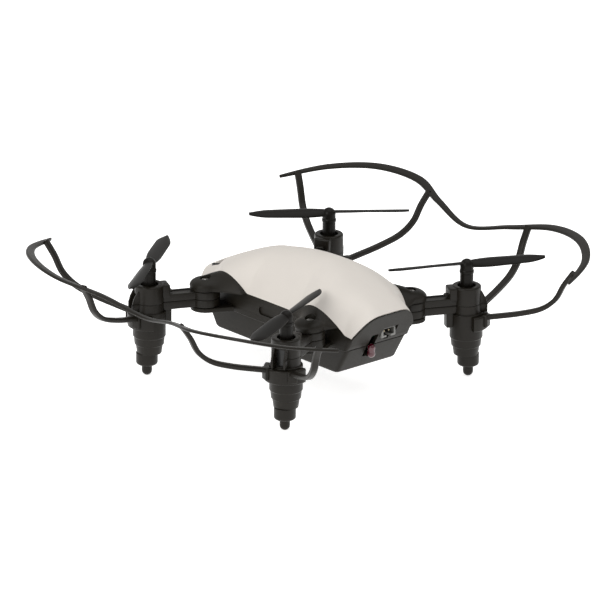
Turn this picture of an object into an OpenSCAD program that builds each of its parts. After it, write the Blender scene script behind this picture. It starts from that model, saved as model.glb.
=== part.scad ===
// Mini palm drone with folding arms and pull-off propeller guards.
// +X points to the tail, +Y to the drone's right side, +Z up. The feet stand on z = 0.
// One quarter of the drone (tail, right side) is described, and the others are mirror images of it.

/* [Propellers] */
// Diameter swept by each propeller
prop_d = 46; // [44:0.5:46]
// Height of the middle of the blades above the feet
blade_z = 33.3; // [33:0.1:34]
// Widest chord of a blade
blade_chord = 4.2; // [3.6:0.1:4.2]
// Rest angle of the tail propellers from +X
tail_blade_angle = 65; // [60:1:68]
// Rest angle of the nose propellers from +X
nose_blade_angle = 53; // [50:1:56]

/* [Arms] */
// Distance of the arm hinges from the middle, along the body
pivot_x = 22.4; // [22:0.1:23]
// Distance of the arm hinges from the middle, across the body
pivot_y = 18.85; // [18.5:0.05:19.2]
// Length of an arm from its hinge to the motor axis
arm_len = 16.4; // [16:0.1:17]
// Direction of an open arm from +X
arm_angle = 65; // [63:1:67]
// Width of the arm beam
arm_w = 4.5; // [4:0.1:5]
// Bottom of the arm beam
arm_z = 19.6; // [19.5:0.1:19.7]
// Top of the arm beam
arm_top_z = 24.1; // [23.9:0.1:24.1]
// Parting line of the two arm halves
arm_split_z = 21.9; // [21.5:0.1:22.3]
// Radius of the hinge knuckle
knuckle_r = 4.2; // [4:0.1:4.3]
// Radius of the hinge post in the body
post_r = 2.1; // [2:0.05:2.2]
// Running clearance of the hinge, on the radius
hinge_gap = 0.05; // [0.03:0.01:0.08]

/* [Motor pods] */
// Radius of the coreless motor can
motor_r = 3.5; // [3:0.5:3.5]
// Length of the motor can
motor_len = 16; // [15:0.5:16]
// Radius of the upper motor housing
housing_r = 4.15; // [4.1:0.05:4.2]
// Top of the upper motor housing
housing_top_z = 27.2; // [27:0.1:27.4]
// Radius of the lower barrel that the guard clips on
barrel_r = 4.7; // [4.6:0.05:4.8]
// Radius of the foot pin
foot_pin_r = 1.47; // [1.4:0.01:1.6]
// Radius of the foot cap above the pin
foot_cap_r = 3.1; // [3:0.1:3.2]

/* [Guards] */
// Radius of the guard rail about each motor axis
rail_r = 33.5; // [33:0.1:34]
// Width of the guard rail at its widest
rail_w = 2.8; // [2.6:0.1:3]
// Thickness of the guard rail
rail_t = 0.9; // [0.8:0.1:1]
// Lean of the rail, rising outwards
rail_tilt = 25; // [20:1:30]
// Width of a rib
rib_w = 2; // [1.8:0.1:2.2]
// Thickness of a rib
rib_t = 1.4; // [1.2:0.1:1.5]
// Angle of the two ribs on either side of the arm
rib_angle = 40; // [38:1:42]
// Outer radius of the clip on the barrel
clip_r = 6.2; // [6:0.1:6.3]
// Bottom and top of the clip
clip_z = [14.8, 19]; // [14:0.1:19]
// Running clearance between the clip and the barrel
clip_gap = 0.15; // [0.1:0.05:0.2]

/* [Body] */
// Height of the belly above the feet
belly_z = 9.6; // [9.4:0.1:9.8]
// Half width of the belly tub
belly_half = 11; // [10.8:0.1:11.2]
// Tail end of the belly
belly_tail_x = 24.6; // [24:0.1:25]
// Nose end of the belly
belly_nose_x = -26.9; // [-27.5:0.1:-26]
// Forward lean of both end faces, X for each Z
end_lean = 0.6; // [0.5:0.01:0.62]
// Height of the ledge where the tub widens
ledge_z = 17.4; // [17:0.1:17.8]
// Half width of the body at the hinges
body_half = 13.5; // [13.4:0.1:13.6]
// Parting line between the tub and the frame
shell_split_z = 19.4; // [19.4:0.1:19.5]
// Wall thickness of the mouldings
wall = 1.2; // [1:0.1:1.3]

/* [Canopy] */
// Height of the crest of the canopy
crest_z = 37.8; // [37:0.1:38]
// Place of the crest along the body
crest_x = 10; // [8:0.5:12]
// Height of the crest line at the tail edge
tail_crest_z = 27.4; // [27:0.1:28]
// Drop of the crest line from the crest to the nose edge
nose_drop = 13; // [12:0.1:14]
// Height of the lower edge between the hinges
edge_z = 24.6; // [24.4:0.1:24.8]
// Rise of the edge where it arches over a hinge
arch_rise = 5.2; // [4.6:0.1:5.4]

/* [Hidden] */
SIDES = [-1, 1];
QUARTERS = ["front_left", "rear_left", "rear_right", "front_right"];
ARM_PIECES = ["arm_top", "arm_bottom", "foot", "motor", "motor_shaft", "propeller", "motor_leads"];
BODY_PIECES = [
    "canopy", "upper_frame", "lower_shell", "headlight_lenses", "headlight_leds", "hinge_screws",
    "battery", "battery_pad", "battery_leads", "circuit_board", "board_chips", "board_screws",
    "charging_socket", "socket_pins", "switch_body", "switch_knob", "antenna_wire",
    "guard_left", "guard_right"
];
$fn = 48;

eps = 0.01;
charcoal = [0.2, 0.19, 0.175];
prop_r = prop_d / 2;
pod_x = pivot_x + arm_len * cos(arm_angle);
pod_y = pivot_y + arm_len * sin(arm_angle);

// Heights up a motor pod
pin_top_z = 3.25;
foot_top_z = 6.7;
foot_shift = 0.7;
plug_top_z = 8.7;
plug_r = 2.55;
dish_r = 2.6;
motor_top_z = plug_top_z + motor_len;
hub_bottom_z = 25.7;
hub_top_z = 34.9;
hub_r = 1.9;
shaft_r = 0.4;

// Heights up a hinge
lug_bottom_z = 18.2;
cap_bottom_z = 24.3;
cap_crest_max_z = 30;
screw_seat_z = 26.3;
screw_bore_r = 0.8;
screw_recess_r = 1.5;
screw_head_r = 1.2;
screw_hole_r = 0.62;

// Circuit board and what stands on it
board_z = 18.4;
board_t = 1;
board_half = 9.2;
board_x = [-25, 26.5];
board_top_z = board_z + board_t;
socket_y = 2.6;
socket_size = [8.5, 5.3, 3.1];
socket_face_x = 31.3;
switch_y = -2.4;
knob_size = [1.5, 2.3, 4.1];
knob_bottom_z = 13.9;
knob_face_x = 30.8;
knob_travel = 2.9;
slot_size = [2.6, knob_size[2] + knob_travel + 0.4];

/* ---------- placement ---------- */

function side_x(q) = (q == "rear_left" || q == "rear_right") ? 1 : -1;
function side_y(q) = (q == "rear_right" || q == "front_right") ? 1 : -1;

// Puts a piece drawn for the tail right quarter into quarter q
module quarter(sx, sy) {
    mirror([sx < 0 ? 1 : 0, 0, 0]) mirror([0, sy < 0 ? 1 : 0, 0]) children();
}

// Arm frame: origin on the hinge axis, +X towards the motor
module arm_frame() {
    translate([pivot_x, pivot_y, 0]) rotate(arm_angle) children();
}

// Pod frame: origin on the motor axis, +X outwards along the arm
module pod_frame() {
    arm_frame() translate([arm_len, 0, 0]) children();
}

module rod(r, z0, z1) {
    translate([0, 0, z0]) cylinder(r = r, h = z1 - z0);
}

// Box from one corner to the opposite one
module block(low, high) {
    translate(low) cube(high - low);
}

/* ---------- smooth curves ---------- */

// Point t of the way from p1 to p2 on the smooth curve through p0, p1, p2 and p3
function blend_point(p0, p1, p2, p3, t) =
    0.5 * (2 * p1 + (p2 - p0) * t + (2 * p0 - 5 * p1 + 4 * p2 - p3) * t * t
        + (3 * p1 - p0 - 3 * p2 + p3) * t * t * t);

// The smooth curve through all points, with the given steps between two of them
function smooth(p, steps) = let (last = len(p) - 1) concat(
    [for (i = [0 : last - 1]) for (k = [0 : steps - 1])
        blend_point(p[max(i - 1, 0)], p[i], p[i + 1], p[min(i + 2, last)], k / steps)],
    [p[last]]);

function unit(v) = v / norm(v);
function tangent(p, i) = unit(p[min(i + 1, len(p) - 1)] - p[max(i - 1, 0)]);

// Closed mesh of rings of equal size, capped at both ends
module skin(rings) {
    n = len(rings[0]);
    m = len(rings);
    points = [for (ring = rings) for (p = ring) p];
    sides = [for (i = [0 : m - 2]) for (j = [0 : n - 1])
        let (a = i * n + j, b = i * n + (j + 1) % n)
        for (t = [[a, b, b + n], [a, b + n, a + n]]) t];
    caps = [[for (j = [n - 1 : -1 : 0]) j], [for (j = [0 : n - 1]) (m - 1) * n + j]];
    polyhedron(points, concat(sides, caps));
}

/* ---------- canopy surface ---------- */

function tail_x(z, lean) = belly_tail_x + lean * (z - belly_z);
function nose_x(z, lean) = belly_nose_x - lean * (z - belly_z);

canopy_lean = 0.64;
canopy_tail_x = tail_x(tail_crest_z, canopy_lean);
canopy_nose_x = nose_x(crest_z - nose_drop, canopy_lean);

// Crest line along the body
function crest(x) = x > crest_x
    ? crest_z - (crest_z - tail_crest_z) * pow((x - crest_x) / (canopy_tail_x - crest_x), 1.75)
    : crest_z - nose_drop * pow((crest_x - x) / (crest_x - canopy_nose_x), 2.05);

// Half width of the body and canopy
function half_width(x) = body_half - 2.9 * pow(abs(x) / 34, 4);

// Smooth arch, 1 over the hinge and 0 beyond it on both sides
arch_x = 19.6;
arch_inner = 8.8;
arch_outer = 9.4;
arch_power = 0.85;
function arch(x) = let (d = abs(x) - arch_x, reach = d < 0 ? arch_inner : arch_outer)
    abs(d) < reach ? pow(cos(90 * d / reach), arch_power) : 0;

// Lower edge of the canopy
function edge(x) = edge_z - 3.4 * pow(abs(x) / 34, 3) + arch_rise * arch(x);

// Height of the canopy at x and at v from -1 to 1 across it, sunk by the given depth
function section_power(x) = 2.3 + 2.6 * pow(min(abs(x) / 36, 1), 3);
function canopy_z(x, v, sink) =
    edge(x) + (crest(x) - sink - edge(x)) * (1 - pow(abs(v), section_power(x)));

// Where a line along the canopy meets the leaning end plane, by repeated correction
function meet_tail(v, sink, x, n) = n == 0 ? x
    : meet_tail(v, sink, (x + tail_x(canopy_z(x, v, sink), canopy_lean)) / 2, n - 1);
function meet_nose(v, sink, x, n) = n == 0 ? x
    : meet_nose(v, sink, (x + nose_x(canopy_z(x, v, sink), canopy_lean)) / 2, n - 1);

CANOPY_LONG = 52;
CANOPY_WIDE = 22;

// One lengthwise station of the canopy skin: points across it
function canopy_row(i, sink) = [for (j = [0 : CANOPY_WIDE])
    let (v = sin(90 * (2 * j / CANOPY_WIDE - 1)),
        xt = meet_tail(v, sink, 32, 12),
        xn = meet_nose(v, sink, -34, 12),
        x = xn + (xt - xn) * i / CANOPY_LONG)
    [x, (half_width(x) - sink) * v, canopy_z(x, v, sink)]];

/* ---------- body ---------- */

module canopy_shell() {
    rings = [for (i = [0 : CANOPY_LONG])
        concat(canopy_row(i, 0), [for (j = [CANOPY_WIDE : -1 : 0]) canopy_row(i, wall)[j]])];
    n = 2 * (CANOPY_WIDE + 1);
    points = [for (ring = rings) for (p = ring) p];
    sides = [for (i = [0 : CANOPY_LONG - 1]) for (j = [0 : n - 1])
        let (a = i * n + j, b = i * n + (j + 1) % n)
        for (t = [[a, b + n, b], [a, a + n, b + n]]) t];
    last = CANOPY_LONG * n;
    ends = [for (j = [0 : CANOPY_WIDE - 1]) let (a = j, b = j + 1, c = n - 2 - j, d = n - 1 - j)
        for (t = [[a, b, c], [a, c, d], [last + a, last + c, last + b], [last + a, last + d, last + c]]) t];
    polyhedron(points, concat(sides, ends));
}

// Slanted eye-shaped window in each nose shoulder of the canopy
eye_x = -30.5;
eye_y = 7.4;
eye_outline = [[-2.6, -0.6], [2.4, -1.6], [1.6, 1.6]];
module eye_prisms(grow, z0, z1) {
    for (sy = SIDES)
        translate([eye_x, sy * eye_y, z0]) mirror([0, sy < 0 ? 1 : 0, 0]) rotate(-20)
            linear_extrude(z1 - z0) polygon(eye_outline * grow);
}

module canopy() {
    color([0.85, 0.83, 0.8]) difference() {
        canopy_shell();
        eye_prisms(1, 20, 34);
    }
}

module headlight_lenses() {
    lens_z = 26.2;
    color([0.04, 0.04, 0.045]) eye_prisms(0.94, lens_z - 1.4, lens_z);
}

// Plan of the body, narrowed by inset
PLAN_STEP = 2;
body_set_in = 0.15;
module body_plan(inset, x_max) {
    right = [for (x = [-x_max : PLAN_STEP : x_max]) [x, half_width(x) - body_set_in - inset]];
    left = [for (i = [len(right) - 1 : -1 : 0]) [right[i][0], -right[i][1]]];
    polygon(concat(right, left));
}

// Side view of the body up to top_z, with leaning end faces moved in by inset
module side_view(z0, z1, inset) {
    rotate([90, 0, 0]) linear_extrude(60, center = true) polygon([
        [nose_x(z0, end_lean) + inset, z0],
        [tail_x(z0, end_lean) - inset, z0],
        [tail_x(z1, end_lean) - inset, z1],
        [nose_x(z1, end_lean) + inset, z1]
    ]);
}

// Side view of the room under the lower edge of the canopy, or above it when far_z is high
EDGE_STEP = 1.5;
EDGE_REACH = 36;
edge_gap = 0.1;
module edge_side_view(far_z, width) {
    line = [for (x = [EDGE_REACH : -EDGE_STEP : -EDGE_REACH]) [x, edge(x) - edge_gap]];
    rotate([90, 0, 0]) linear_extrude(width, center = true)
        polygon(concat([[-EDGE_REACH, far_z], [EDGE_REACH, far_z]], line));
}

module tub_outside(inset) {
    z0 = belly_z + inset;
    intersection() {
        side_view(z0, shell_split_z + (inset > 0 ? 1 : 0), inset);
        union() {
            translate([-40, -belly_half + inset, z0])
                cube([80, 2 * (belly_half - inset), shell_split_z + 1 - z0]);
            translate([0, 0, ledge_z + inset]) linear_extrude(8) body_plan(inset, 36);
        }
    }
}

// Opening in the tail wall for the sliding power switch
module switch_slot() {
    translate([20, switch_y - slot_size[0] / 2, knob_bottom_z - 0.2])
        cube([14, slot_size[0], slot_size[1]]);
}

// Outline of a hinge lug: a round end on the hinge axis and a neck back to the body
module lug_outline(r, reach) {
    circle(r = r);
    translate([-reach, -r]) square([reach, 2 * r]);
}

lug_reach = 7.2;

module lower_lugs() {
    for (sx = SIDES) for (sy = SIDES) quarter(sx, sy) arm_frame() {
        translate([0, 0, lug_bottom_z])
            linear_extrude(shell_split_z - lug_bottom_z) lug_outline(knuckle_r, lug_reach);
        rod(post_r, lug_bottom_z, cap_bottom_z);
    }
}

module board_posts(r, z1) {
    for (x = [-18, 18]) translate([x, 0, 0]) rod(r, belly_z + wall, z1);
}

module lower_shell() {
    color(charcoal) difference() {
        union() {
            difference() {
                tub_outside(0);
                tub_outside(wall);
            }
            lower_lugs();
            board_posts(2, board_z);
        }
        for (sx = SIDES) for (sy = SIDES) quarter(sx, sy) arm_frame()
            rod(screw_hole_r, lug_bottom_z - 1, cap_bottom_z + 1);
        translate([0, 0, 4]) board_posts(0.6, board_z + 1);
        switch_slot();
        side_recess();
    }
}

// Shallow oval recess in the left wall, below the canopy edge
module side_recess() {
    translate([-2.5, -body_half - 1, 21]) rotate([-90, 0, 0]) linear_extrude(1.6) {
        square([4, 2.4], center = true);
        for (s = SIDES) translate([s * 2, 0]) circle(r = 1.2);
    }
}

// Wall at one end of the frame (1 tail, -1 nose): an arch in the leaning end plane, up to the canopy
ARCH_POINTS = 16;
end_set_back = 0.08;
end_top_gap = 0.9;
module end_wall(end) {
    lean_angle = atan(end_lean);
    base_x = end > 0 ? belly_tail_x : -belly_nose_x;
    x_top = base_x + end_lean * (26 - belly_z);
    foot_half = half_width(base_x + end_lean * (shell_split_z - belly_z)) - wall / 2;
    foot_s = (shell_split_z - 0.7 - belly_z) / cos(lean_angle);
    top = [for (i = [0 : ARCH_POINTS]) let (v = cos(180 * i / ARCH_POINTS))
        [(half_width(x_top) - wall / 2) * v,
            (canopy_z(end * x_top, v, wall + end_top_gap) - body_set_in - belly_z) / cos(lean_angle)]];
    mirror([end < 0 ? 1 : 0, 0, 0]) translate([base_x, 0, belly_z]) rotate([0, lean_angle, 0])
        translate([-wall - end_set_back, 0, 0]) rotate([90, 0, 90]) linear_extrude(wall)
            polygon(concat([[-foot_half, foot_s], [foot_half, foot_s]], top));
}

// Half width of a hinge cap at x along the arm, from inside the body (negative) to the tip
cap_r = 4.5;
cap_spread = 1.8;
cap_spread_x = 8;
function cap_half(x) = x < 0 ? cap_r + cap_spread * pow(min(-x / cap_spread_x, 1), 1.3)
    : sqrt(max(cap_r * cap_r - x * x, 0.01));

// Height of the crest of a hinge cap
cap_top_z = 27.4;
cap_rise = 1.5;
cap_fall = 2.2;
cap_skirt = 0.4;
function cap_crest(x) = x < 0 ? cap_top_z + cap_rise * sin(90 * min(-x / cap_spread_x, 1))
    : cap_top_z - cap_fall * (1 - sqrt(max(1 - pow(x / cap_r, 2), 0)));

CAP_STATIONS = [-9, -7.5, -6, -4.5, -3, -1.5, 0, 1.2, 2.3, 3.2, 3.9, 4.3, 4.47];
CAP_SECTION = 20;
function cap_ring(x) = concat(
    [for (k = [CAP_SECTION : -1 : 0]) let (a = 180 * k / CAP_SECTION, c = cos(a), power = 2 / 2.5)
        [x, cap_half(x) * sign(c) * pow(abs(c), power),
            cap_bottom_z + cap_skirt + (cap_crest(x) - cap_bottom_z - cap_skirt) * pow(sin(a), power)]],
    [[x, cap_half(x), cap_bottom_z], [x, -cap_half(x), cap_bottom_z]]);

module cap_lug() {
    arm_frame() difference() {
        skin([for (x = CAP_STATIONS) cap_ring(x)]);
        rod(screw_bore_r, cap_bottom_z - 1, cap_crest_max_z);
        rod(screw_recess_r, screw_seat_z, cap_crest_max_z);
    }
}

module upper_frame() {
    foot_z = shell_split_z - 1;
    color(charcoal) difference() {
        union() {
            intersection() {
                translate([0, 0, foot_z]) linear_extrude(16) difference() {
                    body_plan(0, 36);
                    body_plan(wall, 38);
                }
                side_view(foot_z, 32, 0);
                edge_side_view(10, 60);
            }
            for (end = SIDES) end_wall(end);
            difference() {
                for (sx = SIDES) for (sy = SIDES) quarter(sx, sy) cap_lug();
                translate([0, 0, 20]) linear_extrude(20) body_plan(wall - 0.2, 38);
                edge_side_view(crest_z + 2, 2 * body_half + 0.3);
            }
        }
        block([-50, -30, 0], [50, 30, shell_split_z]);
        switch_slot();
        translate([20, socket_y - socket_size[1] / 2 - 0.1, shell_split_z - 1])
            cube([16, socket_size[1] + 0.2, socket_size[2] + 1.1]);
        side_recess();
    }
}

module hinge_screws() {
    head_z = screw_seat_z;
    color([0.75, 0.75, 0.74]) for (sx = SIDES) for (sy = SIDES) quarter(sx, sy) arm_frame() {
        difference() {
            intersection() {
                rod(screw_head_r, head_z, head_z + 0.9);
                translate([0, 0, head_z - 1.2]) sphere(r = 2.2);
            }
            cross_recess(head_z + 0.35);
        }
        rod(screw_hole_r - 0.02, lug_bottom_z + 1, head_z);
    }
}

module cross_recess(z) {
    for (a = [0, 90]) rotate(a) translate([-0.8, -0.16, z]) cube([1.6, 0.32, 1]);
}

/* ---------- inside the body ---------- */

battery_low = [-15.5, -8, belly_z + wall + 0.8];
battery_high = [13, 8, 17.4];

module battery() {
    end_r = 1.5;
    color([0.72, 0.73, 0.75]) {
        translate([battery_low[0], 0, (battery_low[2] + battery_high[2]) / 2]) rotate([90, 0, 90])
            linear_extrude(battery_high[0] - battery_low[0]) {
                half = battery_high[1] - end_r;
                h = battery_high[2] - battery_low[2];
                square([2 * half, h], center = true);
                square([2 * battery_high[1], h - 2 * end_r], center = true);
                for (sx = SIDES) for (sy = SIDES)
                    translate([sx * half, sy * (h / 2 - end_r)]) circle(r = end_r);
            }
        block([battery_high[0], -5, 14], [battery_high[0] + 2, 5, 15]);
    }
}

module battery_pad() {
    color([0.15, 0.15, 0.16])
        block([battery_low[0] + 3, -6, belly_z + wall], [battery_high[0] - 3, 6, battery_low[2]]);
}

module battery_leads() {
    lead_r = 0.45;
    for (s = SIDES) color(s < 0 ? [0.7, 0.1, 0.08] : [0.1, 0.1, 0.1])
        translate([battery_high[0] + 1, s * 1.5, 15]) rod(lead_r, 0, board_z - 15);
}

module circuit_board() {
    color([0.08, 0.3, 0.16]) difference() {
        block([board_x[0], -board_half, board_z], [board_x[1], board_half, board_top_z]);
        for (x = [-18, 18]) translate([x, 0, 0]) rod(0.7, 10, 30);
    }
}

module board_screws() {
    color([0.7, 0.7, 0.7]) for (x = [-18, 18]) translate([x, 0, 0]) difference() {
        union() {
            rod(1.2, board_top_z, board_top_z + 0.8);
            rod(0.58, board_z - 3, board_top_z);
        }
        cross_recess(board_top_z + 0.4);
    }
}

// Chips as [x, y, length, width, height]
CHIPS = [
    [-6, 0, 7, 7, 1], [4, 3, 4, 4, 0.9], [5, -4, 5, 3.2, 1.2], [-12, 5, 3, 2.5, 1], [-12, -5, 3, 2.5, 1],
    [13, 6, 2.9, 1.6, 1], [13, -6, 2.9, 1.6, 1], [-22, 7, 2.9, 1.6, 1], [-22, -7, 2.9, 1.6, 1]
];
module board_chips() {
    color([0.1, 0.1, 0.11]) for (c = CHIPS)
        translate([c[0] - c[2] / 2, c[1] - c[3] / 2, board_top_z]) cube([c[2], c[3], c[4]]);
}

module headlight_leds() {
    led_r = 1.2;
    color([0.95, 0.95, 0.9]) for (s = SIDES) translate([-23.5, s * 4, 0]) {
        rod(led_r, board_top_z + 1, 23.2);
        translate([0, 0, 23.2]) sphere(r = led_r);
        for (x = SIDES) translate([x * 0.6, 0, 0]) rod(0.2, board_top_z, board_top_z + 1.1);
    }
}

module antenna_wire() {
    color([0.85, 0.85, 0.8]) translate([-20, -4, 0]) {
        rod(0.3, board_top_z, 24);
        translate([0, 0, 24]) rotate([0, 90, 0]) cylinder(r = 0.3, h = 32);
        translate([0, 0, 24]) sphere(r = 0.3);
    }
}

module charging_socket() {
    inner = socket_size - [1, 1, 1];
    color([0.8, 0.78, 0.72])
        translate([socket_face_x - socket_size[0], socket_y - socket_size[1] / 2, board_top_z]) difference() {
            cube(socket_size);
            translate([2, 0.5, 0.5]) cube(inner);
            translate([4, socket_size[1] / 2 - 0.8, -1]) cube([10, 1.6, 2]);
        }
}

module socket_pins() {
    color([0.85, 0.75, 0.4]) for (s = SIDES)
        block([socket_face_x - socket_size[0] + 2, socket_y + s * 0.9 - 0.25, board_top_z + 1.3],
            [socket_face_x - 1.5, socket_y + s * 0.9 + 0.25, board_top_z + 1.8]);
}

switch_block_x = [20.6, 24.4];
module switch_body() {
    color([0.75, 0.75, 0.77]) difference() {
        block([switch_block_x[0], switch_y - 2.2, knob_bottom_z - 1],
            [switch_block_x[1], switch_y + 2.2, board_z]);
        block([switch_block_x[1] - 1.5, switch_y - 0.6, knob_bottom_z - 0.2],
            [25, switch_y + 0.6, board_z - 0.3]);
    }
}

// Slider: an upright pad with a round front, on a stem into the switch
module switch_knob() {
    pad_r = knob_size[1] / 2;
    stem_z = [knob_bottom_z + 0.1, knob_bottom_z + 0.9];
    color([0.6, 0.03, 0.12]) {
        translate([knob_face_x - pad_r, switch_y, knob_bottom_z + pad_r]) {
            cylinder(r = pad_r, h = knob_size[2] - 2 * pad_r);
            for (z = [0, knob_size[2] - 2 * pad_r]) translate([0, 0, z]) sphere(r = pad_r);
        }
        block([knob_face_x - knob_size[0], switch_y - pad_r, knob_bottom_z + 0.4],
            [knob_face_x - pad_r, switch_y + pad_r, knob_bottom_z + knob_size[2] - 0.4]);
        block([switch_block_x[1] - 1, switch_y - 0.45, stem_z[0]],
            [knob_face_x - pad_r, switch_y + 0.45, stem_z[1]]);
    }
}

/* ---------- arms ---------- */

// Wire channel along the beam
module beam_channel() {
    block([post_r + 1.6, -0.9, arm_split_z - 1], [arm_len - motor_r + 0.5, 0.9, arm_split_z + 1]);
}

module beam(z0, z1) {
    block([0, -arm_w / 2, z0], [arm_len - motor_r, arm_w / 2, z1]);
}

module hinge_bore() {
    rod(post_r + hinge_gap, arm_z - 1, arm_top_z + 1);
}

// Two sloping fins on the outer side of the housing, either side of the motor window
module fins(z0, z1) {
    fin_y = 1.9;
    fin_t = 0.7;
    intersection() {
        for (s = SIDES) translate([0, s * fin_y + fin_t / 2, 0]) rotate([90, 0, 0]) linear_extrude(fin_t)
            polygon([[3.4, 19.4], [5.7, 19.4], [5.6, 21], [4, 25.6], [3.4, 25.6]]);
        block([0, -10, z0], [10, 10, z1]);
    }
}

window_half = 1.3;
window_z = [19.6, 24.6];
module motor_window() {
    block([2, -window_half, window_z[0]], [8, window_half, window_z[1]]);
}

module arm_top(q) {
    bracket = [[-5.6, -2.4, 23.4], [-3.8, 2.4, 27]];
    color(charcoal) quarter(side_x(q), side_y(q)) {
        arm_frame() difference() {
            union() {
                rod(knuckle_r, arm_split_z, arm_top_z);
                beam(arm_split_z, arm_top_z);
            }
            hinge_bore();
            beam_channel();
        }
        pod_frame() difference() {
            union() {
                rod(housing_r, arm_split_z, housing_top_z);
                block(bracket[0], bracket[1]);
                fins(arm_split_z, 30);
            }
            rod(motor_r + 0.02, arm_split_z - 1, motor_top_z);
            rod(dish_r, motor_top_z - 1, housing_top_z + 1);
            motor_window();
            block([-motor_r - 0.9, -0.9, arm_split_z - 1], [0, 0.9, arm_split_z + 1]);
        }
    }
}

module arm_bottom(q) {
    round_r = 2.4;
    color(charcoal) quarter(side_x(q), side_y(q)) {
        arm_frame() difference() {
            union() {
                rod(knuckle_r, arm_z, arm_split_z);
                beam(arm_z, arm_split_z);
            }
            hinge_bore();
            beam_channel();
        }
        pod_frame() difference() {
            union() {
                rotate_extrude() intersection() {
                    union() {
                        translate([0, foot_top_z + round_r]) square([barrel_r, 19.3 - foot_top_z - round_r]);
                        translate([0, foot_top_z]) square([barrel_r - round_r, 4]);
                        translate([barrel_r - round_r, foot_top_z + round_r]) circle(r = round_r);
                    }
                    square([20, 40]);
                }
                rod(housing_r, 19.2, arm_split_z);
                block([-clip_r, -1.5, 15.2], [-barrel_r + 0.4, 1.5, arm_z]);
                fins(19.4, arm_split_z);
            }
            rod(motor_r + 0.02, foot_top_z + eps, 30);
            rod(dish_r, 0, 30);
            motor_window();
            block([-motor_r - 0.9, -0.9, arm_split_z - 1], [0, 0.9, arm_split_z + 1]);
        }
    }
}

module foot(q) {
    cap_round = 1.4;
    color(charcoal) quarter(side_x(q), side_y(q)) pod_frame() {
        translate([foot_shift, 0, 0]) {
            translate([0, 0, foot_pin_r]) sphere(r = foot_pin_r);
            rod(foot_pin_r, foot_pin_r, pin_top_z + 1);
            rotate_extrude() intersection() {
                union() {
                    translate([0, pin_top_z + cap_round])
                        square([foot_cap_r, foot_top_z - pin_top_z - cap_round]);
                    translate([0, pin_top_z]) square([foot_cap_r - cap_round, 3]);
                    translate([foot_cap_r - cap_round, pin_top_z + cap_round]) circle(r = cap_round);
                }
                square([20, 40]);
            }
        }
        rod(plug_r, foot_top_z - 0.5, plug_top_z);
    }
}

module motor(q) {
    color([0.78, 0.78, 0.8]) quarter(side_x(q), side_y(q)) pod_frame() difference() {
        rod(motor_r, plug_top_z, motor_top_z);
        rod(shaft_r + 0.05, 14, 40);
    }
}

module motor_shaft(q) {
    color([0.7, 0.7, 0.72]) quarter(side_x(q), side_y(q)) pod_frame()
        rod(shaft_r, 14.5, hub_top_z - 1.6);
}

module motor_leads(q) {
    lead_r = 0.3;
    for (s = SIDES) color(s < 0 ? [0.75, 0.1, 0.08] : [0.1, 0.15, 0.6])
        quarter(side_x(q), side_y(q)) arm_frame() translate([post_r + 2, s * 0.4, arm_split_z])
            rotate([0, 90, 0]) cylinder(r = lead_r, h = arm_len - motor_r - post_r - 2.1);
}

/* ---------- propellers ---------- */

// Share of the widest chord at share u of the radius
function chord_share(u) = u < 0.35 ? 0.62 + 0.38 * sin(90 * u / 0.35)
    : u < 0.75 ? 1 : 1 - 0.72 * pow((u - 0.75) / 0.25, 2);
BLADE_STATIONS = 12;
BLADE_SECTION = 12;

// One blade section at radius r: a thin lens, pitched more near the hub
function blade_ring(r) = let (
    u = r / prop_r,
    chord = blade_chord * chord_share(u),
    thick = 0.9 - 0.4 * u,
    pitch = 26 - 15 * u)
    [for (k = [0 : BLADE_SECTION - 1]) let (
        a = -360 * k / BLADE_SECTION,
        y = cos(a) * chord / 2,
        z = sin(a) * thick / 2 + 0.35 * (1 - pow(cos(a), 2)))
        [r, y * cos(pitch) - z * sin(pitch), blade_z + y * sin(pitch) + z * cos(pitch)]];

module blade() {
    root = 1;
    skin([for (i = [0 : BLADE_STATIONS]) blade_ring(root + (prop_r - root) * i / BLADE_STATIONS)]);
}

module propeller(q) {
    dome_z = hub_top_z - hub_r;
    rest = side_x(q) > 0 ? tail_blade_angle : nose_blade_angle;
    turn = side_x(q) > 0 ? rest - arm_angle : 180 - rest - arm_angle;
    color([0.12, 0.12, 0.12]) quarter(side_x(q), side_y(q)) pod_frame() difference() {
        union() {
            rod(hub_r, hub_bottom_z, dome_z);
            translate([0, 0, dome_z]) sphere(r = hub_r);
            rotate(turn) for (a = [0, 180]) rotate(a) blade();
        }
        rod(shaft_r, 20, hub_top_z - 1.6);
    }
}

/* ---------- guards ---------- */

// Points of the rail round one motor: angle from +X, share of rail_r, height, share of rail_w
RAIL_POLAR = [
    [116, 0.975, 34, 0.75], [91, 1, 36.4, 1], [66, 1, 37.2, 1], [41, 1, 36, 0.85], [16, 1, 34, 0.55]
];
WAIST = [0, 60.3, 31, 0.6];
RAIL_STEPS = 7;
RAIL_SECTION = 12;

function rail_half() = [for (p = RAIL_POLAR)
    [pod_x + rail_r * p[1] * cos(p[0]), pod_y + rail_r * p[1] * sin(p[0]), p[2], p[3]]];
function mirror_x(p) = [-p[0], p[1], p[2], p[3]];
function rail_path() = let (half = rail_half()) smooth(concat(
    [for (i = [len(half) - 1 : -1 : 0]) mirror_x(half[i])], [WAIST], half), RAIL_STEPS);

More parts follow.
